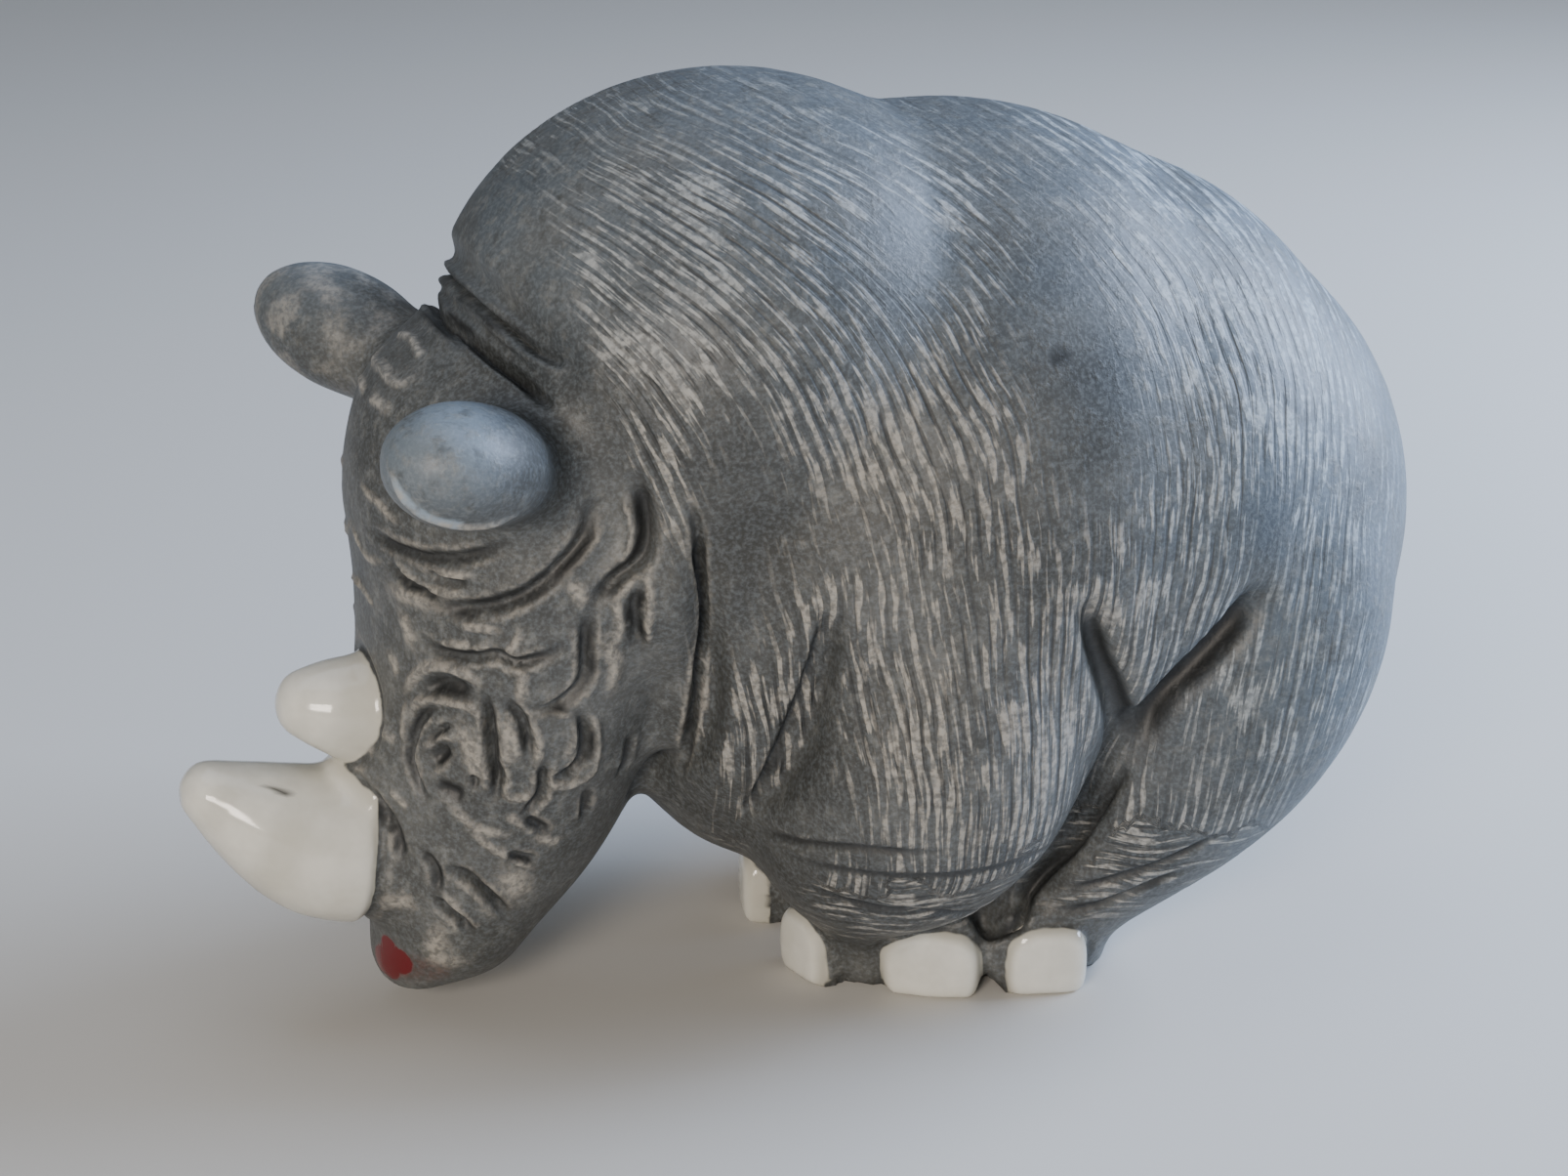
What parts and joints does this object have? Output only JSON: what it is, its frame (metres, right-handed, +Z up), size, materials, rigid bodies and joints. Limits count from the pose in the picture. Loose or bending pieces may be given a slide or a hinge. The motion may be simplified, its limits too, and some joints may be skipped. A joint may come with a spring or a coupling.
{
  "type": "rhinoceros figurine",
  "caption": "Stout standing rhinoceros figurine with a high shoulder hump, head hung low to the ground, blunt nose horns and pressed skin folds.",
  "frame": {"origin": "on the ground under the middle of the figure's bounding box", "axes": "+X runs from the head to the rump, so the animal faces -X; +Y is its right side and -Y its left; +Z is up, and the soles are on z = 0"},
  "size_m": [0.1132, 0.0606, 0.0807],
  "materials": {
    "glaze": null
  },
  "bodies": {
    "root": {"rhinoceros": "glaze"}
  },
  "joints": []
}
